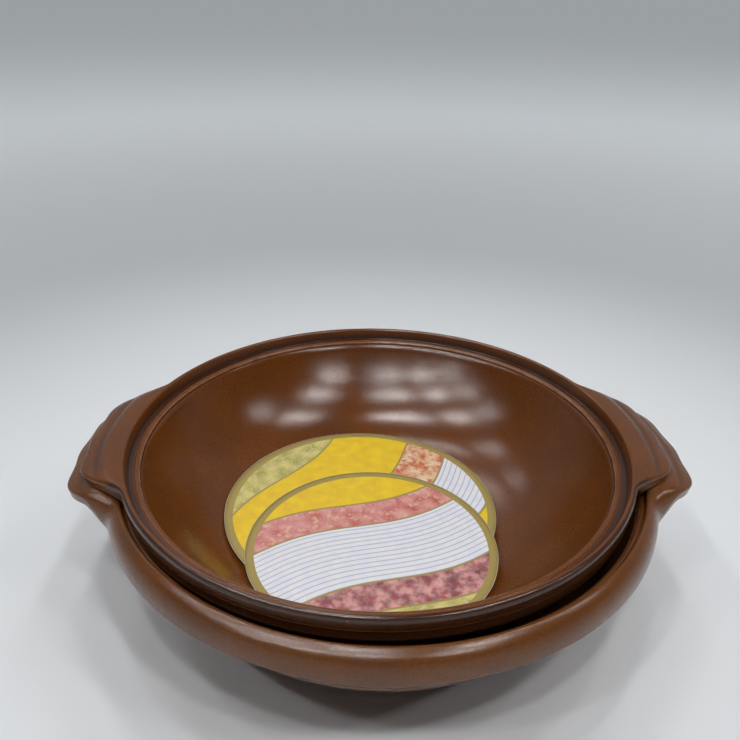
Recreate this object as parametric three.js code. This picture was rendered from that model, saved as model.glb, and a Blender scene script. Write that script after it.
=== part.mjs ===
// Two glazed stoneware hot pots of one design, the smaller standing inside the larger, with two round
// paper cards lying in the upper dish. Millimetres, +Z up. The origin is on the table, on the large
// pot's axis, and the handles point along X.
import * as THREE from "three";

// Small pot
const SMALL_HEIGHT = 71.5; // foot to crest
const SMALL_BOWL_RADIUS = 120; // edge of the dish, just under the lid ledge
const SMALL_FLOOR_RADIUS = 62; // flat part of the dish
const SMALL_FOOT_RADIUS = 77; // outside of the foot ring
const SMALL_BASE = 7.5; // clay between the dish and the recess under it
const SMALL_HANDLE_FALL = 3.8; // the handle's top falls this much to its outer edge
const SMALL_HANDLE_SAG = 1.6; // and its underside this much

// Large pot, where it doesn't follow from the small one
const LARGE_FOOT_RADIUS = 83;
const LARGE_BASE = 8.5;
const LARGE_COLLAR_DROP = 17; // crest to the collar's lower edge
const LARGE_HANDLE_FALL = 5.5;
const LARGE_HANDLE_SAG = 4;

// How the small pot sits in the large one
const NEST_SHIFT = 2.5; // it stands this far to the left of the middle
const NEST_CLEARANCE = 1.5; // least gap between its wall and the large dish
const FLOOR_ROOM = 3; // flat floor left round its foot
const HANDLE_CLEARANCE = 1.25; // under its handles, over the large crest
const SEAT_CLEARANCE = 2; // under its collar, over the large lid ledge

// Clay sizes that both pots share
const WALL = 6;
const FOOT_WIDTH = 5.5;
const BARE_HEIGHT = 2.5; // lowest part of the foot, left without glaze
const FOOT_ROUND = 0.7;
const FOOT_HEIGHT = 8; // outside, up to where the wall begins
const RECESS = 5; // from the foot's underside up to the base
const DISC_RADIUS = 21; // plain disc in the middle of the recess
const DISC_STEP = 0.8;
const RIDGES = 10; // throwing ridges on the outside
const RIDGE_DEPTH = 0.9;
const BELLY_INSET = 20; // the dish's curve turns this far inside its edge
const BELLY_RISE = 3.5; // and this far above its floor

// Rim, from the dish outwards
const LIP_ROUND = 0.8; // dish edge to the flat ledge
const LIP_DROP = 2.1; // ledge down to the dish edge
const LEDGE_WIDTH = 3; // flat ledge that carries a lid
const LEDGE_DROP = 6; // crest down to the ledge
const GALLERY_RUN = 3.7; // slope from the ledge out to the crest
const CREST_WIDTH = 3.2; // crest's inner edge to the rim's sharp edge
const CREST_ROUND = 1.3;
const EDGE_DROP = 6.25; // crest down to the rim's sharp edge
const COLLAR_INSET = 0.4; // the collar lies this far inside the sharp edge
const COLLAR_UNDERCUT = 0.8; // the collar's underside rises to its edge by this

// Lug handles
const HANDLE_REACH = 17.7; // beyond the rim
const HANDLE_TIP = 27; // half-length of the waved outer edge
const HANDLE_ROOT = 55; // half-length along the rim
const HANDLE_END = 1; // reach left where the flank ends
const HANDLE_WAVE = 0.35; // the outer edge swings this far in and out
const HANDLE_SET = 0.6; // the top starts this far below the crest
const HANDLE_VALLEY = 0.7; // depth of the groove along the top
const HANDLE_NOSE = 1.2; // height of the rounded outer edge
const HANDLE_SEAM = 0.3; // slip joint to the rim

// Paper cards
const CARD_THICKNESS = 0.5;
const CARD_GAP = 0.4; // under each card
const BACK_CARD_RADIUS = 75;
const BACK_CARD_PLACE = new THREE.Vector2(-8.4, 2.9);
const FRONT_CARD_RADIUS = 65;
const FRONT_CARD_SHIFT = 3.4; // it lies this far to the left of the middle
const FRONT_CARD_MARGIN = 23.5; // from its front edge to the dish's edge

// Fineness of the facets
const TURN_STEPS = 48;
const CURVE_STEPS = 4;
const DISH_STEPS = 9;
const HANDLE_STEPS = 20;
const CARD_RINGS = 5;

// Sizes of a pot that follow from its driving ones. Heights are above its own foot.
function potSizes({ height, bowlRadius, floorRadius, footRadius, base, collarDrop, handleFall, handleSag }) {
  const ledgeRadius = bowlRadius + LIP_ROUND;
  const galleryRadius = ledgeRadius + LEDGE_WIDTH;
  const crestRadius = galleryRadius + GALLERY_RUN;
  const rimRadius = crestRadius + CREST_WIDTH;
  return {
    height,
    bowlRadius,
    floorRadius,
    footRadius,
    ledgeRadius,
    galleryRadius,
    crestRadius,
    rimRadius,
    wallRadius: bowlRadius + WALL,
    floor: RECESS + base,
    ledge: height - LEDGE_DROP,
    dishEdge: height - LEDGE_DROP - LIP_DROP,
    rimEdge: height - EDGE_DROP,
    collarBottom: height - collarDrop,
    handleFall,
    handleSag,
  };
}

const small = potSizes({
  height: SMALL_HEIGHT,
  bowlRadius: SMALL_BOWL_RADIUS,
  floorRadius: SMALL_FLOOR_RADIUS,
  footRadius: SMALL_FOOT_RADIUS,
  base: SMALL_BASE,
  collarDrop: EDGE_DROP + HANDLE_CLEARANCE + LEDGE_DROP - SEAT_CLEARANCE,
  handleFall: SMALL_HANDLE_FALL,
  handleSag: SMALL_HANDLE_SAG,
});

// The large dish takes in the small wall, and its gallery takes in the small rim.
const nestRadius = Math.max(small.wallRadius + NEST_CLEARANCE, small.rimRadius - LEDGE_WIDTH);
const nestRise = EDGE_DROP + HANDLE_CLEARANCE;
const large = potSizes({
  height: RECESS + LARGE_BASE + SMALL_HEIGHT - nestRise,
  bowlRadius: nestRadius + NEST_SHIFT,
  floorRadius: SMALL_FOOT_RADIUS + NEST_SHIFT + FLOOR_ROOM,
  footRadius: LARGE_FOOT_RADIUS,
  base: LARGE_BASE,
  collarDrop: LARGE_COLLAR_DROP,
  handleFall: LARGE_HANDLE_FALL,
  handleSag: LARGE_HANDLE_SAG,
});

// A closed outline in the (radius, height) plane, turned about +Z.
function turned(outline) {
  return new THREE.LatheGeometry(outline.getPoints(CURVE_STEPS), TURN_STEPS).rotateX(Math.PI / 2);
}

// The inside of the dish from its flat floor up to its edge.
function dishCurve(pot) {
  const floor = new THREE.Vector2(pot.floorRadius, pot.floor);
  const belly = new THREE.Vector2(pot.bowlRadius - BELLY_INSET, pot.floor + BELLY_RISE);
  const edge = new THREE.Vector2(pot.bowlRadius, pot.dishEdge);
  return new THREE.QuadraticBezierCurve(floor, belly, edge);
}

// Height of the dish at a radius, on the same chords as its turned facets.
function dishHeight(pot, radius) {
  const points = dishCurve(pot).getPoints(DISH_STEPS);
  const next = points.findIndex((p) => p.x > radius);
  if (next === 0) return pot.floor;
  const a = points.at(next - 1);
  const b = points.at(next);
  return a.y + ((b.y - a.y) * (radius - a.x)) / (b.x - a.x);
}

// The outside of the wall from the foot up to the collar: the dish curve moved out by the wall.
function wallCurve(pot) {
  const dish = dishCurve(pot);
  const top = pot.collarBottom + COLLAR_UNDERCUT;
  const points = [new THREE.Vector2(pot.footRadius, FOOT_HEIGHT)];
  for (let i = 0; i <= DISH_STEPS; i++) {
    const at = dish.getPoint(i / DISH_STEPS);
    const along = dish.getTangent(i / DISH_STEPS);
    const outside = new THREE.Vector2(at.x + WALL * along.y, at.y - WALL * along.x);
    if (outside.x > pot.footRadius + WALL && outside.y < top - WALL) points.push(outside);
  }
  points.push(new THREE.Vector2(pot.wallRadius, top));
  return new THREE.SplineCurve(points);
}

// The thrown bowl: underside, ridged wall, collar, rim, lid gallery and dish.
function bowlGeometry(pot) {
  const footInside = pot.footRadius - FOOT_WIDTH;
  const outline = new THREE.Path();
  outline.moveTo(0, RECESS + DISC_STEP);
  outline.lineTo(DISC_RADIUS, RECESS + DISC_STEP);
  outline.lineTo(DISC_RADIUS + DISC_STEP, RECESS);
  outline.lineTo(footInside - DISC_STEP, RECESS);
  outline.lineTo(footInside, RECESS - DISC_STEP);
  outline.lineTo(footInside, BARE_HEIGHT);
  outline.lineTo(pot.footRadius, BARE_HEIGHT);
  const wall = wallCurve(pot);
  const places = 2 * RIDGES;
  for (let i = 0; i <= places; i++) {
    const at = wall.getPointAt(i / places);
    const along = wall.getTangentAt(i / places);
    const proud = i % 2 === 1 ? RIDGE_DEPTH : 0;
    outline.lineTo(at.x + proud * along.y, at.y - proud * along.x);
  }
  const collarRadius = pot.rimRadius - COLLAR_INSET;
  outline.lineTo(collarRadius, pot.collarBottom);
  outline.lineTo(collarRadius, pot.rimEdge - COLLAR_INSET);
  outline.lineTo(pot.rimRadius, pot.rimEdge);
  outline.quadraticCurveTo(pot.rimRadius - COLLAR_INSET, pot.height, pot.crestRadius + CREST_ROUND, pot.height);
  outline.lineTo(pot.crestRadius, pot.height - CREST_ROUND / 2);
  outline.lineTo(pot.galleryRadius, pot.ledge);
  outline.lineTo(pot.ledgeRadius, pot.ledge);
  for (const p of dishCurve(pot).getPoints(DISH_STEPS).reverse()) outline.lineTo(p.x, p.y);
  outline.lineTo(0, pot.floor);
  return turned(outline);
}

// The bare foot: a ring with rounded lower edges, flat on top against the glazed bowl.
function footGeometry(pot) {
  const inside = pot.footRadius - FOOT_WIDTH;
  const outline = new THREE.Path();
  outline.moveTo(inside, BARE_HEIGHT);
  outline.lineTo(inside, FOOT_ROUND);
  outline.lineTo(inside + FOOT_ROUND, 0);
  outline.lineTo(pot.footRadius - FOOT_ROUND, 0);
  outline.lineTo(pot.footRadius, FOOT_ROUND);
  outline.lineTo(pot.footRadius, BARE_HEIGHT);
  outline.lineTo(inside, BARE_HEIGHT);
  return turned(outline);
}

// How far the handle reaches beyond the rim at an angle from its middle: a waved outer edge, then
// flanks that swing in to the rim.
function handleReach(pot, angle) {
  const tip = HANDLE_TIP / (pot.rimRadius + HANDLE_REACH);
  const root = HANDLE_ROOT / pot.rimRadius;
  const from = Math.abs(angle);
  if (from <= tip) return HANDLE_REACH + HANDLE_WAVE * (Math.cos((2 * Math.PI * from) / tip) - 1);
  const share = (from - tip) / (root - tip);
  return HANDLE_END + ((HANDLE_REACH - HANDLE_END) * (1 + Math.cos(Math.PI * share))) / 2;
}

// The handle's section at one reach, counter-clockwise in the (radius, height) plane.
function handleSection(pot, reach) {
  const inside = pot.rimRadius + HANDLE_SEAM;
  const outside = pot.rimRadius + reach;
  const top = pot.height - HANDLE_SET;
  const share = reach / HANDLE_REACH;
  const at = (t) => inside + t * (outside - inside);
  const surface = (t, low) => new THREE.Vector2(at(t), top - share * (pot.handleFall * t * t + low));
  const under = (t) => new THREE.Vector2(at(t), pot.rimEdge - share * pot.handleSag * t * t);
  return [
    under(0),
    under(0.6),
    under(0.96),
    new THREE.Vector2(outside, pot.rimEdge - share * (pot.handleSag - HANDLE_SEAM)),
    new THREE.Vector2(outside, top - share * (pot.handleFall + HANDLE_NOSE)),
    surface(0.93, 0.1),
    surface(0.72, 0),
    surface(0.52, HANDLE_VALLEY),
    surface(0.34, 0),
    surface(0, 0),
  ];
}

// A lug handle on the +X side: sections swept round the pot's axis and closed at both flanks.
function handleGeometry(pot) {
  const root = HANDLE_ROOT / pot.rimRadius;
  const positions = [];
  const faces = [];
  let count = 0;
  for (let i = 0; i <= HANDLE_STEPS; i++) {
    const angle = root * ((2 * i) / HANDLE_STEPS - 1);
    const section = handleSection(pot, handleReach(pot, angle));
    count = section.length;
    for (const p of section) positions.push(p.x * Math.cos(angle), p.x * Math.sin(angle), p.y);
  }
  for (let i = 0; i < HANDLE_STEPS; i++) {
    for (let j = 0; j < count; j++) {
      const a = i * count + j;
      const b = i * count + ((j + 1) % count);
      faces.push(a, a + count, b, b, a + count, b + count);
    }
  }
  const flank = handleSection(pot, HANDLE_END);
  const last = HANDLE_STEPS * count;
  for (const [a, b, c] of THREE.ShapeUtils.triangulateShape(flank, [])) {
    faces.push(a, b, c);
    faces.push(last + a, last + c, last + b);
  }
  const geometry = new THREE.BufferGeometry();
  geometry.setAttribute("position", new THREE.Float32BufferAttribute(positions, 3));
  geometry.setIndex(faces);
  return geometry;
}

function glaze(color) {
  return new THREE.MeshStandardMaterial({ color, roughness: 0.42, metalness: 0 });
}

function named(name, geometry, material) {
  const mesh = new THREE.Mesh(geometry, material);
  mesh.name = name;
  return mesh;
}

// One pot: the bowl, a handle on each side and the bare foot.
function potGroup(name, pot, glazeColor) {
  const group = new THREE.Group();
  group.add(named(name + "_bowl", bowlGeometry(pot), glaze(glazeColor)));
  group.add(named(name + "_handle_right", handleGeometry(pot), glaze(glazeColor)));
  const left = named(name + "_handle_left", handleGeometry(pot), glaze(glazeColor));
  left.rotation.z = Math.PI;
  group.add(left);
  const clay = new THREE.MeshStandardMaterial({ color: 0xd6c8b4, roughness: 0.95, metalness: 0 });
  group.add(named(name + "_foot_ring", footGeometry(pot), clay));
  return group;
}

// A round card in the dish, level at the given height, with any edge that meets the dish bent up it.
function cardMesh(name, place, radius, level, color) {
  const outline = new THREE.Path();
  outline.moveTo(0, 0);
  for (let i = 1; i <= CARD_RINGS; i++) outline.lineTo((radius * i) / CARD_RINGS, 0);
  for (let i = CARD_RINGS; i >= 0; i--) outline.lineTo((radius * i) / CARD_RINGS, CARD_THICKNESS);
  const geometry = turned(outline).translate(place.x, place.y, 0);
  const corners = geometry.getAttribute("position");
  for (let i = 0; i < corners.count; i++) {
    const dish = dishHeight(small, Math.hypot(corners.getX(i), corners.getY(i)));
    corners.setZ(i, corners.getZ(i) + Math.max(level, dish + CARD_GAP));
  }
  return named(name, geometry, new THREE.MeshStandardMaterial({ color, roughness: 0.6, metalness: 0 }));
}

const hotPot = new THREE.Group();
hotPot.add(potGroup("large", large, 0x6b3f22));
const upper = potGroup("small", small, 0x4f2a15);
const backLevel = dishHeight(small, BACK_CARD_PLACE.length() + BACK_CARD_RADIUS) + CARD_GAP;
const frontLevel = backLevel + CARD_THICKNESS + CARD_GAP;
const frontReach = small.bowlRadius - FRONT_CARD_MARGIN - FRONT_CARD_RADIUS;
const frontPlace = new THREE.Vector2(-FRONT_CARD_SHIFT, -frontReach);
upper.add(cardMesh("back_card", BACK_CARD_PLACE, BACK_CARD_RADIUS, backLevel, 0xe8c32a));
upper.add(cardMesh("front_card", frontPlace, FRONT_CARD_RADIUS, frontLevel, 0xe6e2da));
upper.position.set(-NEST_SHIFT, 0, large.floor);
hotPot.add(upper);

export default hotPot;
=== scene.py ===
"""Looks of two nested stoneware hot pots with paper cards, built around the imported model."""

import math

import bpy
from mathutils import Matrix, Vector


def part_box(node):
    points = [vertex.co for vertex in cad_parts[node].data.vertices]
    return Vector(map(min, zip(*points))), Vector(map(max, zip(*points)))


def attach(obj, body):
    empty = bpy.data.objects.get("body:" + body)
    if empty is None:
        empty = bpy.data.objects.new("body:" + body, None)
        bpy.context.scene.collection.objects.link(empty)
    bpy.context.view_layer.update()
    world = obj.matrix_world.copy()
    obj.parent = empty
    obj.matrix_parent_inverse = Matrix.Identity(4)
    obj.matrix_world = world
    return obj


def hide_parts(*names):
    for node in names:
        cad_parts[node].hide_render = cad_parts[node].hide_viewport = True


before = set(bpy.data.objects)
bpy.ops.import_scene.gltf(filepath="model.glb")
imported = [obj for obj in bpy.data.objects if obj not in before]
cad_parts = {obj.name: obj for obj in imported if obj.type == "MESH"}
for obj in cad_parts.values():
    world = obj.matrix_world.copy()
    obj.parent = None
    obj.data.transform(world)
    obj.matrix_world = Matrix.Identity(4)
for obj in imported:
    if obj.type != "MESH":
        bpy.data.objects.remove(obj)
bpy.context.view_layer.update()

# Shapes are worked out in millimetres
MM = 0.001

# Wall, dish and foot
WALL = 6
BELLY_INSET = 20
BELLY_RISE = 3.5
FOOT_WIDTH = 5.5
FOOT_HEIGHT = 8
FOOT_ROUND = 0.7
FOOT_FLARE = 1
GLAZE_LINE = 1

# Recess under the base
RECESS = 5
RECESS_CORNER_WIDTH = 2
RECESS_CORNER_DROP = 1.5
DISC_RADIUS = 21
DISC_STEP = 0.8
DISC_SLOPE = 1

# Throwing marks
RIDGES = 10
RIDGE_DEPTH = 0.9
RIDGE_ROUND = 0.7
RIDGE_THIN = 0.25
RIDGE_STEPS = 8
BASE_RING_PITCH = 6
BASE_RING_DEPTH = 0.22
BASE_RING_STEPS = 6

# Rim, measured inwards and downwards from the rim's edge and the crest
CREST_ROUND = 0.8
CREST_FALL = 0.35
CREST_THIN = 0.35
LEDGE_INSET = 9.9
LEDGE_DROP = 6
LIP_INSET = 10.7
LIP_DROP = 8.1
EDGE_DROP = 6.25
EDGE_ROUND = 0.15
EDGE_LIP = 0.4
EDGE_TURN = 0.5
COLLAR_UNDERCUT = 0.8
COLLAR_ROUND = 0.8
NECK_BEND = 0.4

# Lid gallery: its wall, then steps inwards and down over its ledge
GALLERY_LEAN = 1.8
GALLERY_CORNER = 0.4
GALLERY_CLEAR = 0.1
DITCH = 0.2
DITCH_BACK = 0.3
LEDGE_CROWN = 0.3
DITCH_END = (0.35, DITCH)
BEAD_BACK = (0.6, -LEDGE_CROWN)
BEAD_TOP = (1.4, -LEDGE_CROWN)
BEAD_FRONT = (-0.7, -LEDGE_CROWN)
BEAD_END = (0.1, 0.6)
GROOVE_SIDE = (0.15, 2)
GROOVE_END = (0.35, 2.2)
LIP_BULGE = (-0.2, -0.5)
LIP_END = (0.15, -0.1)

# Lug handles
HANDLE_TIP = 27
HANDLE_ROOT = 55
HANDLE_WAVE = 0.5
HANDLE_PLATEAU = 6.3
HANDLE_STEP = 0.3
HANDLE_VALLEY = 0.5
HANDLE_VALLEY_WIDTH = 7
HANDLE_VALLEY_POOL = 0.55
HANDLE_NOSE = 1.6
HANDLE_DUCK = 0.3
HANDLE_STEEP = 0.7
HANDLE_TUCK = 0.8
HANDLE_FILLET = 2.2
HANDLE_SWELL = 0.6

# Glaze thickness along a profile: thin over sharp edges, pooled in grooves; the pooled value also paints
# shade on the small pot's rim face and collar and in the lid galleries
THIN = 0.0
EVEN = 0.5
POOLED_AND_SHADED = 1.0

# Cards
CARD_THICKNESS = 0.5
CARD_GAP = 0.4
CARD_BEND = 3
CARD_BORDER = 4.6
CARD_RULE = 0.7
CARD_RULE_BLUR = 0.2
CARD_BORDER_BLUR = 0.1
CARD_RAW_EDGE = (0.25, 0.05)

# Fineness of the meshes
FINE_TURN = 1.0
COARSE_TURN = 2.5
HANDLE_SPREAD = 32
DISH_STEPS = 36
LUG_STEPS = 6
HANDLE_TOP_STEPS = 60
RIM_STEPS = 56
CARD_RINGS = 26
CARD_SIDES = 144

# Sizes of the finishes' patterns, and the limits between which a pattern turns into a mask
GRAIN_SIZE = 1.1
GRAIN_LIMITS = (0.46, 0.64)
PINHOLE_PITCH = 9
PINHOLE_LIMITS = (0.05, 0.025)
PINHOLE_PATCH = 21
PINHOLE_PATCH_LIMITS = (0.5, 0.56)
CLOUD_SIZE = 34
CLOUD_LIMITS = (0.34, 0.68)
PEEL_SIZE = 0.75
GRIT_SIZE = 0.4
THIN_PATCH = 7
THIN_PATCH_LIMITS = (0.15, 0.6)
THIN_START = 0.1
SWING_RATE = 48
RULE_PITCH = 3.4
RULE_LIMITS = (0.7, 0.95)
MOTTLE_SIZE = 7
MOTTLE_LIMITS = (0.3, 0.72)
FLECK_SIZE = 3.5
FLECK_LIMITS = (0.5, 0.68)

# Strengths of the finishes' patterns, roughness, and depth of the peel in millimetres
GLAZE_CLOUDS = 0.35
GLAZE_GRAIN = 0.4
GLAZE_POOL_AND_SHADE = 0.85
GLAZE_PINHOLES = 0.45
GLAZE_GRIT = 0.8
GLAZE_DULL_CLOUDS = 0.04
GLAZE_DULL_GRAIN = 0.04
CLAY_GRAIN_SPREAD = 0.95
CLAY_CLOUDS = 0.5
CLAY_GRAIN = 0.6
CLAY_GRIT = 1.5
CLAY_ROUGHNESS = 0.85
CLAY_DULL_CLOUDS = 0.08
CLAY_PEEL = 0.12
CARD_WAVE = 5.0
CARD_FLECKS = 0.6
CARD_GRIT = 0.5
CARD_ROUGHNESS = 0.4
CARD_DULL_CLOUDS = 0.06
CARD_PEEL = 0.01

# Colours, linear
SMALL_BROWN = (0.165, 0.049, 0.007, 1)
SMALL_DARK = (0.07, 0.02, 0.0045, 1)
# Pool colours: dark glaze pooled in grooves, and painted shade on the small pot's rim face and collar and
# in the lid gallery
SMALL_POOL_AND_SHADE = (0.038, 0.012, 0.005, 1)
LARGE_BROWN = (0.17, 0.057, 0.011, 1)
LARGE_DARK = (0.09, 0.028, 0.007, 1)
# Pool colour of the large pot: pooled glaze in grooves, and painted shade in its lid gallery
LARGE_POOL_AND_SHADE = (0.06, 0.018, 0.005, 1)
THIN_GLAZE = (0.3, 0.155, 0.08, 1)
CREAM_CLAY = (0.62, 0.5, 0.39, 1)
GREY_CLAY = (0.42, 0.33, 0.26, 1)
KHAKI = (0.36, 0.27, 0.075, 1)
YELLOW = (0.86, 0.6, 0.012, 1)
GOLD = (0.74, 0.46, 0.02, 1)
PALE_LILAC = (0.74, 0.74, 0.84, 1)
PAPER_WHITE = (0.8, 0.8, 0.82, 1)
CREAM = (0.8, 0.62, 0.4, 1)
ORANGE_RED = (0.6, 0.15, 0.05, 1)
ROSE = (0.72, 0.36, 0.33, 1)
RED = (0.5, 0.06, 0.06, 1)
PLUM = (0.12, 0.03, 0.05, 1)
LEAF_YELLOW = (0.7, 0.62, 0.2, 1)
OLIVE = (0.33, 0.3, 0.05, 1)
INK_GREY = (0.28, 0.28, 0.33, 1)


class Pot:
    """One pot's sizes: heights are above its own foot, radii from its own axis."""

    def __init__(self, name, floor_radius, base, gallery_inset):
        bowl_low, bowl_high = (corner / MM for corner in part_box(name + "_bowl"))
        foot_low, foot_high = (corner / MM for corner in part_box(name + "_foot_ring"))
        handle_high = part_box(name + "_handle_right")[1] / MM
        self.name = name
        self.place = Vector(((bowl_low.x + bowl_high.x) / 2, 0, foot_low.z))
        self.rim = (bowl_high.x - bowl_low.x) / 2
        self.height = bowl_high.z - foot_low.z
        self.foot = (foot_high.x - foot_low.x) / 2
        self.bare = foot_high.z - foot_low.z
        self.reach = handle_high.x - self.place.x - self.rim
        self.floor_radius = floor_radius
        self.floor = RECESS + base
        self.gallery = self.rim - gallery_inset
        self.dish_radius = self.rim - LIP_INSET
        self.dish_edge = self.height - LIP_DROP

    def shape_collar(self, drop, inset):
        """How far the collar reaches below the crest and stands back from the rim's edge."""
        self.collar_bottom = self.height - drop
        self.collar_inset = inset

    def shape_rim(self, crest_inset, crest_drop, edge_drop, crisp, glaze):
        """Between the handles: places of crest and outer edge, how sharp the edge is, and the glaze value
        of the face and collar, which at the pooled value paints shade on them.
        """
        self.crest_inset = crest_inset
        self.crest_drop = crest_drop
        self.edge_drop = edge_drop
        self.crisp = crisp
        self.rim_glaze_and_shade = glaze

    def shape_face(self, nose, shoulder, tuck, steep):
        """Between the handles: how the rim rounds from its outer edge up to its crest."""
        self.nose = nose
        self.shoulder = shoulder
        self.tuck = tuck
        self.steep = steep

    def shape_handles(self, fall, sag):
        """How far the handles' top and underside come down to their outer edge."""
        self.handle_fall = fall
        self.handle_sag = sag


# Profiles: vectors of radius, height and glaze thickness


def at(radius, height, glaze=EVEN):
    return Vector((radius, height, glaze))


def inward(radius, height, step, glaze=EVEN):
    """The point a step inwards and down from a place."""
    return at(radius - step[0], height - step[1], glaze)


def mix(a, b, share):
    return a + (b - a) * share


def smooth(share):
    """0 below 0, 1 above 1 and smooth between them."""
    t = min(max(share, 0), 1)
    return t * t * (3 - 2 * t)


def bend(start, middle, end, steps):
    """Points of a quadratic curve after its start."""
    points = []
    for i in range(1, steps + 1):
        t = i / steps
        points.append(mix(mix(start, middle, t), mix(middle, end, t), t))
    return points


def line(start, end, steps):
    """Points of a straight stretch after its start."""
    return [mix(start, end, i / steps) for i in range(1, steps + 1)]


def evenly(points, count):
    """The same path with points at equal distances."""
    lengths = [0]
    for a, b in zip(points, points[1:]):
        lengths.append(lengths[-1] + (b - a).length)
    spaced = []
    k = 0
    for i in range(count + 1):
        wanted = lengths[-1] * i / count
        while k < len(points) - 2 and lengths[k + 1] < wanted:
            k += 1
        share = (wanted - lengths[k]) / (lengths[k + 1] - lengths[k])
        spaced.append(mix(points[k], points[k + 1], share))
    return spaced


def dish_curve(pot):
    """The inside of the dish from its flat floor up to its edge."""
    start = at(pot.floor_radius, pot.floor)
    belly = at(pot.dish_radius - BELLY_INSET, pot.floor + BELLY_RISE)
    return [start] + bend(start, belly, at(pot.dish_radius, pot.dish_edge), DISH_STEPS)


def dish_height(pot, radius):
    """Height of the dish above the pot's foot at a radius."""
    points = dish_curve(pot)
    for a, b in zip(points, points[1:]):
        if a.x <= radius < b.x:
            return mix(a.y, b.y, (radius - a.x) / (b.x - a.x))
    return pot.floor if radius < pot.floor_radius else pot.dish_edge


def ridged_wall(pot):
    """The outside of the wall from the foot to the collar, with rounded throwing ridges."""
    dish = dish_curve(pot)
    top = pot.collar_bottom + COLLAR_UNDERCUT
    path = [at(pot.foot, FOOT_HEIGHT)]
    for before, after in zip(dish, dish[1:]):
        along = (after - before).normalized()
        outside = (before + after) / 2 + WALL * Vector((along.y, -along.x, 0))
        if outside.x > pot.foot + WALL and outside.y < top - WALL:
            path.append(outside)
    path.append(at(pot.dish_radius + WALL, top))
    places = evenly(path, RIDGES * RIDGE_STEPS)
    wall = []
    for i, place in enumerate(places):
        along = (places[min(i + 1, len(places) - 1)] - places[max(i - 1, 0)]).normalized()
        swell = abs(math.sin(math.pi * i / RIDGE_STEPS)) ** RIDGE_ROUND
        ridge = place + RIDGE_DEPTH * swell * Vector((along.y, -along.x, 0))
        wall.append(at(ridge.x, ridge.y, mix(POOLED_AND_SHADED, EVEN - RIDGE_THIN, swell)))
    return wall


def underside(pot):
    """The recess under the base, from the middle out to the glaze line on the foot."""
    inside = pot.foot - FOOT_WIDTH
    middle = at(0, RECESS + DISC_STEP)
    disc = at(DISC_RADIUS, RECESS + DISC_STEP)
    first = at(DISC_RADIUS + DISC_SLOPE, RECESS, POOLED_AND_SHADED)
    last = at(inside - RECESS_CORNER_WIDTH, RECESS)
    shelf = at(inside, RECESS - RECESS_CORNER_DROP)
    points = [middle]
    points += line(middle, disc, steps=4)
    points += bend(disc, at(DISC_RADIUS + DISC_SLOPE / 2, RECESS, THIN), first, steps=4)
    count = round((last.x - first.x) / BASE_RING_PITCH) * BASE_RING_STEPS
    for i in range(1, count + 1):
        swell = abs(math.sin(math.pi * i / BASE_RING_STEPS))
        groove = BASE_RING_DEPTH * (1 - swell)
        points.append(at(mix(first.x, last.x, i / count), RECESS + groove, mix(POOLED_AND_SHADED, EVEN, swell)))
    points += bend(last, at(inside, RECESS), shelf, steps=5)
    points += line(shelf, at(inside, pot.bare), steps=2)
    return points


def lower_section(pot):
    """Profile from the middle of the underside to the top of the ridged wall."""
    glaze_line = at(pot.foot, pot.bare, THIN)
    glaze_line_top = at(pot.foot, pot.bare + GLAZE_LINE)
    points = underside(pot)
    points += line(points[-1], glaze_line, steps=2)
    points += line(glaze_line, glaze_line_top, steps=2)
    points += line(glaze_line_top, at(pot.foot, FOOT_HEIGHT - FOOT_FLARE), steps=3)
    points += ridged_wall(pot)
    return points


def handle_share(pot, angle):
    """How much of its full reach the handle has at an angle from the pot's X axis."""
    from_middle = min(abs(angle), math.pi - abs(angle))
    tip = HANDLE_TIP / (pot.rim + pot.reach)
    root = HANDLE_ROOT / pot.rim
    if from_middle >= root:
        return 0
    if from_middle <= tip:
        return 1 + HANDLE_WAVE / pot.reach * (math.cos(2 * math.pi * from_middle / tip) - 1)
    return (1 + math.cos(math.pi * (from_middle - tip) / (root - tip))) / 2


def valley_share(beyond):
    """How far a place beyond the rim is across the valley on a handle's top, and its share of the depth."""
    across = min(max((beyond - HANDLE_PLATEAU) / HANDLE_VALLEY_WIDTH, 0), 1)
    return across, math.sin(math.pi * across) ** 2


def handle_top(pot, share, beyond):
    """How far the handle's top lies below the crest at a distance beyond the rim."""
    if share == 0 or beyond <= 0:
        return 0
    fall = pot.handle_fall * share * (beyond / (share * pot.reach)) ** 2
    across, depth = valley_share(beyond)
    return fall + share * (HANDLE_VALLEY * depth + HANDLE_STEP * smooth(across))


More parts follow.
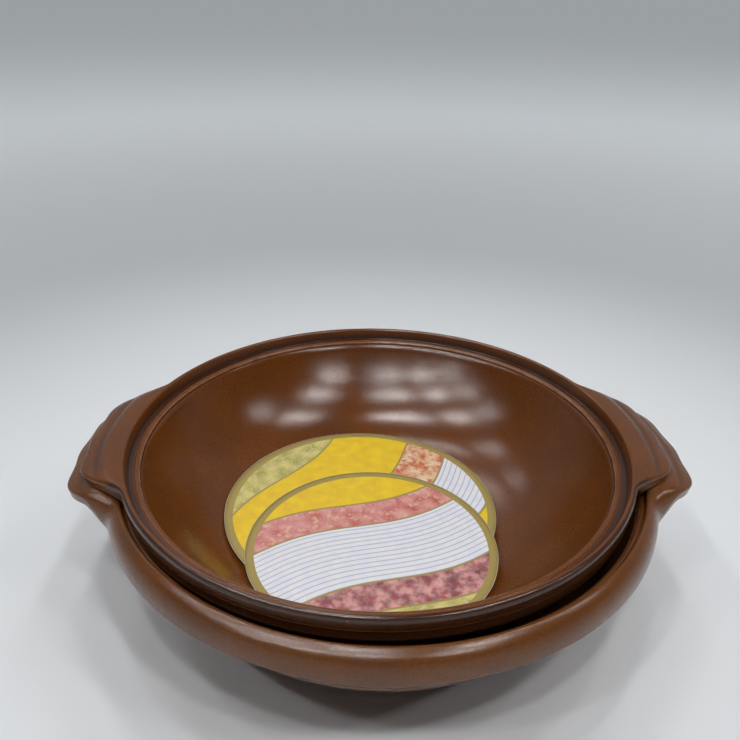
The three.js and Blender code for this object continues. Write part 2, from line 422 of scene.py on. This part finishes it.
def collar_section(pot, share, grown, face_glaze_and_shade):
    """Profile from under the collar up to the outer edge of the rim or handle."""
    crisp = max(pot.crisp, grown)
    edge_glaze = mix(EVEN, THIN, crisp)
    edge = pot.height - mix(pot.edge_drop, EDGE_DROP, grown)
    lug_edge = edge - pot.handle_sag * share
    outside = pot.rim + share * pot.reach - mix(pot.tuck, HANDLE_TUCK, grown)
    collar = pot.rim - pot.collar_inset
    neck = pot.rim - pot.collar_inset * crisp
    bottom = pot.collar_bottom
    roof = edge - EDGE_LIP
    fillet = HANDLE_FILLET * share
    wall_top = at(pot.dish_radius + WALL, bottom + COLLAR_UNDERCUT, POOLED_AND_SHADED)
    # The collar and rim face take the face's glaze value: on the small pot this is painted shade in the
    # pool colour
    corner = at(collar - COLLAR_ROUND, bottom, face_glaze_and_shade)
    above_corner = at(collar, bottom + COLLAR_ROUND, face_glaze_and_shade)
    below = at(neck, roof - fillet - EDGE_TURN, face_glaze_and_shade)
    under = at(neck + fillet, roof, face_glaze_and_shade)
    lip = at(outside - EDGE_ROUND * crisp, lug_edge - EDGE_ROUND * share, edge_glaze)
    points = line(wall_top, corner, steps=3)
    points += bend(corner, at(collar, bottom, face_glaze_and_shade), above_corner, steps=5)
    points += bend(above_corner, at(neck, mix(above_corner.y, below.y, NECK_BEND), face_glaze_and_shade), below, steps=7)
    points += bend(below, at(neck, roof, face_glaze_and_shade), under, steps=5)
    for i in range(1, LUG_STEPS + 1):
        t = i / LUG_STEPS
        glaze = face_glaze_and_shade if i < LUG_STEPS else edge_glaze
        points.append(at(mix(under.x, lip.x, t), mix(under.y, lip.y, t * t), glaze))
    points.append(at(outside, lug_edge + EDGE_ROUND, edge_glaze))
    return points


def crest_section(pot, share, grown, face_glaze_and_shade, edge):
    """Profile from the outer edge up the face, over the handle's top and round the crest."""
    outside = pot.rim + share * pot.reach
    top = pot.height - pot.crest_drop * (1 - grown)
    start = outside - mix(pot.nose, HANDLE_NOSE, grown)
    shoulder = at(start, top - handle_top(pot, share, start - pot.rim), face_glaze_and_shade)
    nose = at(outside, shoulder.y - mix(pot.shoulder, HANDLE_DUCK, grown), face_glaze_and_shade)
    turn = at(edge.x, edge.y + EDGE_TURN, face_glaze_and_shade)
    brow = at(outside, mix(turn.y, nose.y, mix(pot.steep, HANDLE_STEEP, grown)), face_glaze_and_shade)
    inner = pot.rim - pot.crest_inset
    flat_end = inner + CREST_ROUND
    crest_end = at(inner - CREST_FALL, top - CREST_ROUND)
    points = [turn]
    points += line(turn, brow, steps=6)
    points += bend(brow, nose, shoulder, steps=14)
    for i in range(1, HANDLE_TOP_STEPS + 1):
        radius = mix(start, flat_end, i / HANDLE_TOP_STEPS)
        beyond = radius - pot.rim
        glaze = mix(EVEN, POOLED_AND_SHADED, HANDLE_VALLEY_POOL * share * valley_share(beyond)[1])
        points.append(at(radius, top - handle_top(pot, share, beyond), glaze))
    points += bend(points[-1], at(inner, top, EVEN - CREST_THIN), crest_end, steps=8)
    return evenly(points, RIM_STEPS)


def gallery_foot(pot):
    """Where the wall of the lid gallery turns into its ledge."""
    # The ditch takes the pooled value: painted shade
    return at(pot.gallery + DITCH_BACK, pot.height - LEDGE_DROP - DITCH, POOLED_AND_SHADED)


def gallery_wall(pot, crest_end):
    """Profile from the crest down the wall of the lid gallery to its foot, with the pooled value painting
    shade on the wall and ditch.
    """
    foot = gallery_foot(pot)
    wall = max(pot.rim - pot.crest_inset - GALLERY_LEAN, foot.x + GALLERY_CLEAR)
    wall_end = at(wall, foot.y + GALLERY_CORNER, POOLED_AND_SHADED)
    ditch_start = at(max(wall - GALLERY_CORNER, foot.x + GALLERY_CLEAR / 2), foot.y, POOLED_AND_SHADED)
    points = line(crest_end, wall_end, steps=6)
    points += bend(wall_end, at(wall, foot.y, POOLED_AND_SHADED), ditch_start, steps=4)
    points += line(ditch_start, foot, steps=3)
    return points


def edge_section(pot, angle):
    """Profile from under the collar, round the rim or handle and over the crest to the gallery's foot."""
    share = handle_share(pot, angle)
    grown = smooth(share / HANDLE_SWELL)
    # Face value: painted shade on the small pot's rim face and collar, fading to even glaze on the handles
    face_glaze_and_shade = mix(pot.rim_glaze_and_shade, EVEN, grown)
    points = collar_section(pot, share, grown, face_glaze_and_shade)
    points += crest_section(pot, share, grown, face_glaze_and_shade, points[-1])
    points += gallery_wall(pot, points[-1])
    return points


def upper_section(pot):
    """Profile from the foot of the lid gallery's wall over the ledge and down the dish to its middle."""
    back = pot.gallery
    inner = pot.rim - LEDGE_INSET
    ledge = pot.height - LEDGE_DROP
    ditch = inward(back, ledge, DITCH_END)
    bead = inward(back, ledge, BEAD_TOP)
    bead_end = inward(inner, ledge, BEAD_END, THIN)
    groove = inward(inner, ledge, GROOVE_END, POOLED_AND_SHADED)
    dish_lip = inward(pot.dish_radius, pot.dish_edge, LIP_END)
    points = line(gallery_foot(pot), ditch, steps=3)
    points += bend(ditch, inward(back, ledge, BEAD_BACK), bead, steps=4)
    points += bend(bead, inward(inner, ledge, BEAD_FRONT), bead_end, steps=8)
    points += bend(bead_end, inward(inner, ledge, GROOVE_SIDE), groove, steps=4)
    points += bend(groove, inward(pot.dish_radius, pot.dish_edge, LIP_BULGE), dish_lip, steps=5)
    points += dish_curve(pot)[-2::-1]
    points += line(at(pot.floor_radius, pot.floor), at(0, pot.floor), steps=8)
    return points


# Meshes


def turn_angles():
    """Angles round a pot, close together at the handles."""
    angles = []
    angle = -180.0
    while angle < 180:
        angles.append(math.radians(angle))
        near = min(abs(angle), 180 - abs(angle)) < HANDLE_SPREAD
        angle += FINE_TURN if near else COARSE_TURN
    return angles


def new_piece(name, vertices, faces, place):
    """A smooth mesh object from corners in millimetres."""
    mesh = bpy.data.meshes.new(name)
    mesh.from_pydata([Vector(v) * MM for v in vertices], [], faces)
    mesh.polygons.foreach_set("use_smooth", [True] * len(mesh.polygons))
    made = bpy.data.objects.new(name, mesh)
    made.location = place * MM
    bpy.context.scene.collection.objects.link(made)
    return made


def around(point, angle):
    """A profile's point, turned about the pot's axis."""
    return (point.x * math.cos(angle), point.x * math.sin(angle), point.y)


def pot_skin(pot):
    """The glazed pot with both handles as one closed skin: profiles start and end on the axis."""
    lower = lower_section(pot)
    upper = upper_section(pot)
    sections = [(angle, lower + edge_section(pot, angle) + upper) for angle in turn_angles()]
    rows = len(sections[0][1]) - 2
    vertices = []
    glaze = []
    for angle, points in sections:
        vertices += [around(p, angle) for p in points[1:-1]]
        glaze += [p.z for p in points[1:-1]]
    below = len(vertices)
    above = below + 1
    vertices += [around(lower[0], 0), around(upper[-1], 0)]
    glaze += [EVEN, EVEN]
    faces = []
    for i in range(len(sections)):
        a = i * rows
        b = (i + 1) % len(sections) * rows
        faces.append((below, b, a))
        faces.append((above, a + rows - 1, b + rows - 1))
        for j in range(rows - 1):
            faces.append((a + j, b + j, b + j + 1, a + j + 1))
    made = new_piece(pot.name + "_pot_skin", vertices, faces, pot.place)
    # Per-point glaze value: thin or pooled glaze, and painted shade where the pooled value is set on shaded
    # faces
    thickness_and_shade = made.data.attributes.new("glaze_thickness_and_shade", "FLOAT", "POINT")
    thickness_and_shade.data.foreach_set("value", glaze)
    return made


def foot_clay(pot):
    """The bare foot: a turned ring with rounded lower edges."""
    inside = pot.foot - FOOT_WIDTH
    inner_top = at(inside, pot.bare)
    inner_side = at(inside, FOOT_ROUND)
    inner_sole = at(inside + FOOT_ROUND, 0)
    outer_sole = at(pot.foot - FOOT_ROUND, 0)
    outer_side = at(pot.foot, FOOT_ROUND)
    outer_top = at(pot.foot, pot.bare)
    loop = line(inner_top, inner_side, steps=2)
    loop += bend(inner_side, at(inside, 0), inner_sole, steps=5)
    loop += line(inner_sole, outer_sole, steps=4)
    loop += bend(outer_sole, at(pot.foot, 0), outer_side, steps=5)
    loop += line(outer_side, outer_top, steps=2)
    loop += line(outer_top, inner_top, steps=3)
    angles = turn_angles()
    count = len(loop)
    vertices = []
    for angle in angles:
        vertices += [around(p, angle) for p in loop]
    faces = []
    for i in range(len(angles)):
        a = i * count
        b = (i + 1) % len(angles) * count
        for j in range(count):
            k = (j + 1) % count
            faces.append((a + j, b + j, b + k, a + k))
    return new_piece(pot.name + "_foot_clay", vertices, faces, pot.place)


def soft_upper(a, b, reach):
    """The larger of two heights, rounded off where they meet."""
    overlap = max(reach - abs(a - b), 0)
    return max(a, b) + overlap * overlap / (4 * reach)


def card_paper(name, pot):
    """A round card lying level in the dish, bent up where its edge meets the dish, and its radius."""
    low, high = (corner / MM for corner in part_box(name))
    radius = (high.x - low.x) / 2
    place = Vector(((low.x + high.x) / 2, (low.y + high.y) / 2, low.z))
    level = low.z - pot.place.z
    vertices = []
    for side in (0, CARD_THICKNESS):
        for ring in range(CARD_RINGS + 1):
            for i in range(CARD_SIDES if ring else 1):
                angle = 2 * math.pi * i / CARD_SIDES
                x = radius * ring / CARD_RINGS * math.cos(angle)
                y = radius * ring / CARD_RINGS * math.sin(angle)
                from_axis = math.hypot(place.x + x - pot.place.x, place.y + y)
                under = soft_upper(level, dish_height(pot, from_axis) + CARD_GAP, CARD_BEND)
                vertices.append((x, y, under - level + side))
    half = 1 + CARD_RINGS * CARD_SIDES
    faces = []
    for i in range(CARD_SIDES):
        k = (i + 1) % CARD_SIDES
        faces.append((0, 1 + k, 1 + i))
        faces.append((half, half + 1 + i, half + 1 + k))
        for ring in range(CARD_RINGS - 1):
            a = 1 + ring * CARD_SIDES
            b = a + CARD_SIDES
            faces.append((a + i, a + k, b + k, b + i))
            faces.append((half + a + i, half + b + i, half + b + k, half + a + k))
        edge = 1 + (CARD_RINGS - 1) * CARD_SIDES
        faces.append((edge + i, edge + k, half + edge + k, half + edge + i))
    return new_piece(name + "_paper", vertices, faces, place), radius


# Shader building


def feed(tree, node, sockets):
    """Sets a node's inputs, each to a value or to another node's output."""
    for name, value in sockets.items():
        if isinstance(value, bpy.types.NodeSocket):
            tree.links.new(value, node.inputs[name])
        else:
            node.inputs[name].default_value = value


def add_node(tree, kind, sockets, **settings):
    made = tree.nodes.new(kind)
    for name, value in settings.items():
        setattr(made, name, value)
    feed(tree, made, sockets)
    return made


def calc(tree, operation, a, b=0.0):
    return add_node(tree, "ShaderNodeMath", {0: a, 1: b}, operation=operation).outputs[0]


def times(tree, a, b):
    return calc(tree, "MULTIPLY", a, b)


def plus(tree, a, b):
    return calc(tree, "ADD", a, b)


def distance(tree, place):
    """Distance of a place from the object's origin, in metres."""
    return add_node(tree, "ShaderNodeVectorMath", {0: place}, operation="LENGTH").outputs["Value"]


def ramp(tree, value, low, high):
    """0 at low, 1 at high and smooth between them."""
    sockets = {"Value": value, "From Min": low, "From Max": high}
    return add_node(tree, "ShaderNodeMapRange", sockets, interpolation_type="SMOOTHSTEP").outputs[0]


def tint(tree, share, a, b):
    """Colour a, turning to colour b by a share."""
    return add_node(tree, "ShaderNodeMix", {0: share, 6: a, 7: b}, data_type="RGBA").outputs[2]


def noise(tree, place, size, detail=2.0, roughness=0.5):
    """Noise between 0 and 1 with features of about the given size in millimetres."""
    sockets = {"Vector": place, "Scale": 1 / (size * MM), "Detail": detail, "Roughness": roughness}
    return add_node(tree, "ShaderNodeTexNoise", sockets).outputs["Fac"]


def new_group(name, inputs, outputs):
    """An empty node group: its tree, its inputs by name and its output node."""
    tree = bpy.data.node_groups.new(name, "ShaderNodeTree")
    for label, kind in inputs.items():
        tree.interface.new_socket(label, in_out="INPUT", socket_type="NodeSocket" + kind)
    for label, kind in outputs.items():
        tree.interface.new_socket(label, in_out="OUTPUT", socket_type="NodeSocket" + kind)
    return tree, tree.nodes.new("NodeGroupInput").outputs, tree.nodes.new("NodeGroupOutput")


def use_group(tree, group, sockets):
    return add_node(tree, "ShaderNodeGroup", sockets, node_tree=group).outputs


def speckle_group():
    """Fine dark grain and stray pale pinholes, as masks."""
    tree, given, result = new_group(
        "speckle",
        {"Place": "Vector", "Grain": "Float"},
        {"Dark": "Float", "Pale": "Float"},
    )
    place = given["Place"]
    grain = calc(tree, "DIVIDE", noise(tree, place, GRAIN_SIZE), given["Grain"])
    spots = add_node(tree, "ShaderNodeTexVoronoi", {"Vector": place, "Scale": 1 / (PINHOLE_PITCH * MM)})
    pinhole = ramp(tree, spots.outputs["Distance"], *PINHOLE_LIMITS)
    few = ramp(tree, noise(tree, place, PINHOLE_PATCH, detail=0), *PINHOLE_PATCH_LIMITS)
    feed(tree, result, {"Dark": ramp(tree, grain, *GRAIN_LIMITS), "Pale": times(tree, pinhole, few)})
    return tree


def clouds_group():
    """Slow drifts in tone and gloss, as a mask."""
    tree, given, result = new_group("clouds", {"Place": "Vector"}, {"Mask": "Float"})
    drifts = noise(tree, given["Place"], CLOUD_SIZE, detail=3)
    feed(tree, result, {"Mask": ramp(tree, drifts, *CLOUD_LIMITS)})
    return tree


def peel_group():
    """The orange-peel skin of a satin surface, as a height."""
    tree, given, result = new_group("peel", {"Place": "Vector", "Grit": "Float"}, {"Height": "Float"})
    swell = noise(tree, given["Place"], PEEL_SIZE, detail=1)
    grit = times(tree, noise(tree, given["Place"], GRIT_SIZE, detail=1), given["Grit"])
    feed(tree, result, {"Height": plus(tree, swell, grit)})
    return tree


def wavy_bands_group():
    """Wavy printed bands: millimetres across them and from the centre, and masks for what they show."""
    tree, given, result = new_group(
        "wavy_bands",
        {"Place": "Vector", "Turn": "Float", "Wave": "Float"},
        {"Across": "Float", "Mottle": "Float", "Flecks": "Float", "Rules": "Float", "From Centre": "Float"},
    )
    place = given["Place"]
    turned = add_node(tree, "ShaderNodeVectorRotate", {"Vector": place, "Angle": given["Turn"]})
    axes = add_node(tree, "ShaderNodeSeparateXYZ", {0: turned.outputs[0]}).outputs
    swing = calc(tree, "SINE", times(tree, axes["X"], SWING_RATE))
    across = plus(tree, times(tree, axes["Y"], 1 / MM), times(tree, swing, given["Wave"]))
    comb = calc(tree, "SINE", times(tree, across, 2 * math.pi / RULE_PITCH))
    mottle = noise(tree, place, MOTTLE_SIZE, detail=4, roughness=0.6)
    drawn = {
        "Across": across,
        "Mottle": ramp(tree, mottle, *MOTTLE_LIMITS),
        "Flecks": ramp(tree, noise(tree, place, FLECK_SIZE), *FLECK_LIMITS),
        "Rules": ramp(tree, comb, *RULE_LIMITS),
        "From Centre": times(tree, distance(tree, place), 1 / MM),
    }
    feed(tree, result, drawn)
    return tree


SPECKLE = speckle_group()
CLOUDS = clouds_group()
PEEL = peel_group()
WAVY_BANDS = wavy_bands_group()


def new_material(name):
    """A material, its tree, its shader and its object coordinates."""
    material = bpy.data.materials.new(name)
    material.use_nodes = True
    tree = material.node_tree
    place = tree.nodes.new("ShaderNodeTexCoord").outputs["Object"]
    return material, tree, tree.nodes["Principled BSDF"], place


def bump(tree, height, depth):
    """A normal from a height, raised by a depth in millimetres."""
    return add_node(tree, "ShaderNodeBump", {"Height": height, "Distance": depth * MM}).outputs["Normal"]


def finish(tree, shader, color, roughness, normal):
    feed(tree, shader, {"Base Color": color, "Roughness": roughness, "Normal": normal})


def satin_glaze(name, brown, dark, pool_and_shade, gloss, peel_depth):
    """Satin brown stoneware glaze: speckled, pale over sharp edges, dark where it pools and where shade is
    painted in.
    """
    material, tree, shader, place = new_material(name)
    clouds = use_group(tree, CLOUDS, {"Place": place})["Mask"]
    speckle = use_group(tree, SPECKLE, {"Place": place, "Grain": 1.0})
    peel = use_group(tree, PEEL, {"Place": place, "Grit": GLAZE_GRIT})["Height"]
    thickness_and_shade = add_node(tree, "ShaderNodeAttribute", {}, attribute_name="glaze_thickness_and_shade").outputs["Fac"]
    color = tint(tree, times(tree, clouds, GLAZE_CLOUDS), brown, dark)
    color = tint(tree, times(tree, speckle["Dark"], GLAZE_GRAIN), color, dark)
    # Dark pool colour: glaze pooled in grooves, and painted shade on the small rim face and collar and in
    # the lid galleries
    color = tint(tree, times(tree, ramp(tree, thickness_and_shade, EVEN, POOLED_AND_SHADED), GLAZE_POOL_AND_SHADE), color, pool_and_shade)
    color = tint(tree, times(tree, speckle["Pale"], GLAZE_PINHOLES), color, THIN_GLAZE)
    patchy = ramp(tree, noise(tree, place, THIN_PATCH, detail=3), *THIN_PATCH_LIMITS)
    bared = times(tree, ramp(tree, thickness_and_shade, EVEN - THIN_START, THIN), patchy)
    color = tint(tree, bared, color, THIN_GLAZE)
    dull_clouds = times(tree, clouds, GLAZE_DULL_CLOUDS)
    dull_grain = times(tree, speckle["Dark"], GLAZE_DULL_GRAIN)
    roughness = plus(tree, plus(tree, dull_clouds, dull_grain), gloss)
    finish(tree, shader, color, roughness, bump(tree, peel, peel_depth))
    return material


def bare_clay():
    """Unglazed cream clay: sandy, greyer in patches."""
    material, tree, shader, place = new_material("bare_clay")
    clouds = use_group(tree, CLOUDS, {"Place": place})["Mask"]
    speckle = use_group(tree, SPECKLE, {"Place": place, "Grain": CLAY_GRAIN_SPREAD})
    peel = use_group(tree, PEEL, {"Place": place, "Grit": CLAY_GRIT})["Height"]
    color = tint(tree, times(tree, clouds, CLAY_CLOUDS), CREAM_CLAY, GREY_CLAY)
    color = tint(tree, times(tree, speckle["Dark"], CLAY_GRAIN), color, GREY_CLAY)
    roughness = plus(tree, times(tree, clouds, CLAY_DULL_CLOUDS), CLAY_ROUGHNESS)
    finish(tree, shader, color, roughness, bump(tree, peel, CLAY_PEEL))
    return material


def card_print(name, radius, turn, bands):
    """Coated card with wavy bands inside a plain border.

    Each band has its lower limit across the card, its ground colour, the colours of its mottle and its
    flecks, and how dark its rules are."""
    material, tree, shader, place = new_material(name)
    drawn = use_group(tree, WAVY_BANDS, {"Place": place, "Turn": turn, "Wave": CARD_WAVE})
    clouds = use_group(tree, CLOUDS, {"Place": place})["Mask"]
    peel = use_group(tree, PEEL, {"Place": place, "Grit": CARD_GRIT})["Height"]
    color = KHAKI
    for lower, ground, mottle, flecks, dark in bands:
        band = tint(tree, drawn["Mottle"], ground, mottle)
        band = tint(tree, times(tree, drawn["Flecks"], CARD_FLECKS), band, flecks)
        band = tint(tree, times(tree, drawn["Rules"], dark), band, INK_GREY)
        start = lower - CARD_RULE
        end = lower + CARD_RULE
        color = tint(tree, ramp(tree, drawn["Across"], start, start + CARD_RULE_BLUR), color, KHAKI)
        color = tint(tree, ramp(tree, drawn["Across"], end - CARD_RULE_BLUR, end), color, band)
    border = radius - CARD_BORDER
    raw_start, raw_end = (radius - inset for inset in CARD_RAW_EDGE)
    rim = ramp(tree, drawn["From Centre"], border - CARD_BORDER_BLUR, border + CARD_BORDER_BLUR)
    color = tint(tree, rim, color, KHAKI)
    color = tint(tree, ramp(tree, drawn["From Centre"], raw_start, raw_end), color, PAPER_WHITE)
    roughness = plus(tree, times(tree, clouds, CARD_DULL_CLOUDS), CARD_ROUGHNESS)
    finish(tree, shader, color, roughness, bump(tree, peel, CARD_PEEL))
    return material


def dress(piece, material, body, slot, *nodes):
    """Gives a piece its material and body, and lets it stand for its nodes."""
    piece.data.materials.append(material)
    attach(piece, body)
    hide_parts(*nodes)


# Pots
small = Pot("small", floor_radius=62, base=7.5, gallery_inset=6.9)
small.shape_collar(drop=13, inset=1.1)
# The small pot's rim face and collar get the pooled value as painted shade
small.shape_rim(crest_inset=2.8, crest_drop=0, edge_drop=7.3, crisp=1, glaze=POOLED_AND_SHADED)
small.shape_face(nose=1.6, shoulder=0.3, tuck=0.4, steep=0.6)
small.shape_handles(fall=3.8, sag=1.6)
large = Pot("large", floor_radius=82.5, base=8.5, gallery_inset=7.6)
large.shape_collar(drop=16.5, inset=0)
large.shape_rim(crest_inset=6.9, crest_drop=2.5, edge_drop=14.6, crisp=0, glaze=EVEN)
large.shape_face(nose=5.6, shoulder=3.8, tuck=0, steep=0.02)
large.shape_handles(fall=5.5, sag=4)
clay = bare_clay()
small_glaze = satin_glaze("small_glaze", SMALL_BROWN, SMALL_DARK, SMALL_POOL_AND_SHADE, gloss=0.15, peel_depth=0.035)
large_glaze = satin_glaze("large_glaze", LARGE_BROWN, LARGE_DARK, LARGE_POOL_AND_SHADE, gloss=0.19, peel_depth=0.04)
for pot, glaze in ((small, small_glaze), (large, large_glaze)):
    glazed = [pot.name + part for part in ("_bowl", "_handle_left", "_handle_right")]
    dress(pot_skin(pot), glaze, pot.name + "_pot", pot.name + "_glaze", *glazed)
    dress(foot_clay(pot), clay, pot.name + "_pot", "bare_clay", pot.name + "_foot_ring")

# Cards: how far each one's print is turned, and its bands
CARD_BANDS = {
    "back_card": (
        2.1,
        [
            (-90, LEAF_YELLOW, OLIVE, CREAM, 0.2),
            (-52, YELLOW, GOLD, YELLOW, 0),
            (-4, CREAM, ORANGE_RED, RED, 0),
            (22, PALE_LILAC, PAPER_WHITE, PAPER_WHITE, 0.6),
            (56, YELLOW, GOLD, YELLOW, 0),
        ],
    ),
    "front_card": (
        -0.42,
        [
            (-90, LEAF_YELLOW, OLIVE, CREAM, 0.25),
            (-46, ROSE, PLUM, RED, 0),
            (-27, PALE_LILAC, PAPER_WHITE, PAPER_WHITE, 0.6),
            (17, ROSE, RED, CREAM, 0),
            (36, YELLOW, GOLD, YELLOW, 0),
        ],
    ),
}
for name, (turn, bands) in CARD_BANDS.items():
    paper, radius = card_paper(name, small)
    dress(paper, card_print(name + "_print", radius, turn, bands), name, name + "_print", name)

# Camera: angles in radians, lens and sensor in millimetres, near limit in metres
CAMERA_PLACE = Vector((-20.7, -329.5, 291.1)) * MM
CAMERA_PITCH = 0.4781
CAMERA_YAW = 0.0413
CAMERA_ROLL = 0.018
CAMERA_LENS = 36
CAMERA_SENSOR = 36
CAMERA_NEAR = 0.01
forward = Vector(
    (
        math.sin(CAMERA_YAW) * math.cos(CAMERA_PITCH),
        math.cos(CAMERA_YAW) * math.cos(CAMERA_PITCH),
        -math.sin(CAMERA_PITCH),
    )
)
level = Vector((math.cos(CAMERA_YAW), -math.sin(CAMERA_YAW), 0))
right = math.cos(CAMERA_ROLL) * level + math.sin(CAMERA_ROLL) * level.cross(forward)
facing = Matrix((right, right.cross(forward), -forward)).transposed()
camera = bpy.data.objects.new("camera", bpy.data.cameras.new("camera"))
bpy.context.scene.collection.objects.link(camera)
camera.matrix_world = Matrix.Translation(CAMERA_PLACE) @ facing.to_4x4()
camera.data.lens = CAMERA_LENS
camera.data.sensor_width = CAMERA_SENSOR
camera.data.clip_start = CAMERA_NEAR
bpy.context.scene.camera = camera

# Floor, in metres: its tone and its glow change between two distances from the pots
FLOOR_HALF = 40
FLOOR_TONE_ENDS = (0.2, 0.6)
FLOOR_GLOW_ENDS = (0.4, 1.8)
FLOOR_ROUGHNESS = 0.6
FLOOR_SPECULAR = 0.2
PALE_FLOOR = (0.8, 0.82, 0.84, 1)
FAR_FLOOR = (0.5, 0.52, 0.54, 1)
FAR_GLOW = (0.24, 0.255, 0.265, 1)
BLACK = (0, 0, 0, 1)


def floor_paint():
    """Pale matte paint that greys and glows far from the pots."""
    material, tree, shader, place = new_material("floor")
    away = distance(tree, place)
    tone = tint(tree, ramp(tree, away, *FLOOR_TONE_ENDS), PALE_FLOOR, FAR_FLOOR)
    glow = tint(tree, ramp(tree, away, *FLOOR_GLOW_ENDS), BLACK, FAR_GLOW)
    feed(tree, shader, {"Base Color": tone, "Emission Color": glow, "Emission Strength": 1})
    feed(tree, shader, {"Roughness": FLOOR_ROUGHNESS, "Specular IOR Level": FLOOR_SPECULAR})
    return material


floor_mesh = bpy.data.meshes.new("floor")
corners = [(x * FLOOR_HALF, y * FLOOR_HALF, 0) for x, y in ((-1, -1), (1, -1), (1, 1), (-1, 1))]
floor_mesh.from_pydata(corners, [], [(0, 1, 2, 3)])
floor_mesh.materials.append(floor_paint())
floor = bpy.data.objects.new("floor", floor_mesh)
bpy.context.scene.collection.objects.link(floor)

# Ceiling lamps, in metres and watts: some light the pots, and others are seen as highlights alone
# Each row's distance behind the pots is given with its lamps' power and places across
LAMP_HEIGHT = 2.2
LAMP_SIZE = 0.15
LAMP_COLUMNS = (-1.13, -0.09, 0.6, 1.78)
LAMPS = {-1.04: (8.6, LAMP_COLUMNS), 0: (3.9, LAMP_COLUMNS), 1: (3.9, LAMP_COLUMNS)}
GLINT_LENGTH = 0.8
GLINT_WIDTH = 0.15
GLINTS = {
    -2.8: (28, (-2.9, -1.6, -0.4, 1.4)),
    -1.6: (18, (-2.9, -1.6, -0.4, 1.4)),
    -0.5: (13, (-2.9, -1.6, -0.4, 1.4, 2.9)),
    0.75: (5, (-1.6, -0.4)),
    1.9: (4, (-1.6, -0.4)),
}


def hang_lamps(name, length, width, rows, lights, shows):
    """Rows of lamps that light the pots, or show in their glaze, or both."""
    for row, (energy, columns) in rows.items():
        for column in columns:
            data = bpy.data.lights.new(name, "AREA")
            data.shape = "RECTANGLE"
            data.size = length
            data.size_y = width
            data.energy = energy
            lamp = bpy.data.objects.new(name, data)
            lamp.location = (column, row, LAMP_HEIGHT)
            lamp.visible_diffuse = lights
            lamp.visible_glossy = shows
            bpy.context.scene.collection.objects.link(lamp)


hang_lamps("lamp", LAMP_SIZE, LAMP_SIZE, LAMPS, lights=True, shows=False)
hang_lamps("glint", GLINT_LENGTH, GLINT_WIDTH, GLINTS, lights=False, shows=True)

# Room: light grey behind the pots and low in front of them, dark higher up in front
ROOM_LOW = (0.29, 0.305, 0.315, 1)
ROOM_FRONT = (0.02, 0.021, 0.022, 1)
ROOM_BACK = (0.3, 0.32, 0.335, 1)
ROOM_RISE_ENDS = (0.0, 0.28)
ROOM_BACK_ENDS = (-0.2, 0.7)
room = bpy.data.worlds.new("room")
room.use_nodes = True
bpy.context.scene.world = room
room_tree = room.node_tree
way = room_tree.nodes.new("ShaderNodeTexCoord").outputs["Generated"]
sides = add_node(room_tree, "ShaderNodeSeparateXYZ", {0: way}).outputs
front = tint(room_tree, ramp(room_tree, sides["Z"], *ROOM_RISE_ENDS), ROOM_LOW, ROOM_FRONT)
shade = tint(room_tree, ramp(room_tree, sides["Y"], *ROOM_BACK_ENDS), front, ROOM_BACK)
feed(room_tree, room_tree.nodes["Background"], {"Color": shade})
bpy.context.scene.view_settings.view_transform = "Standard"
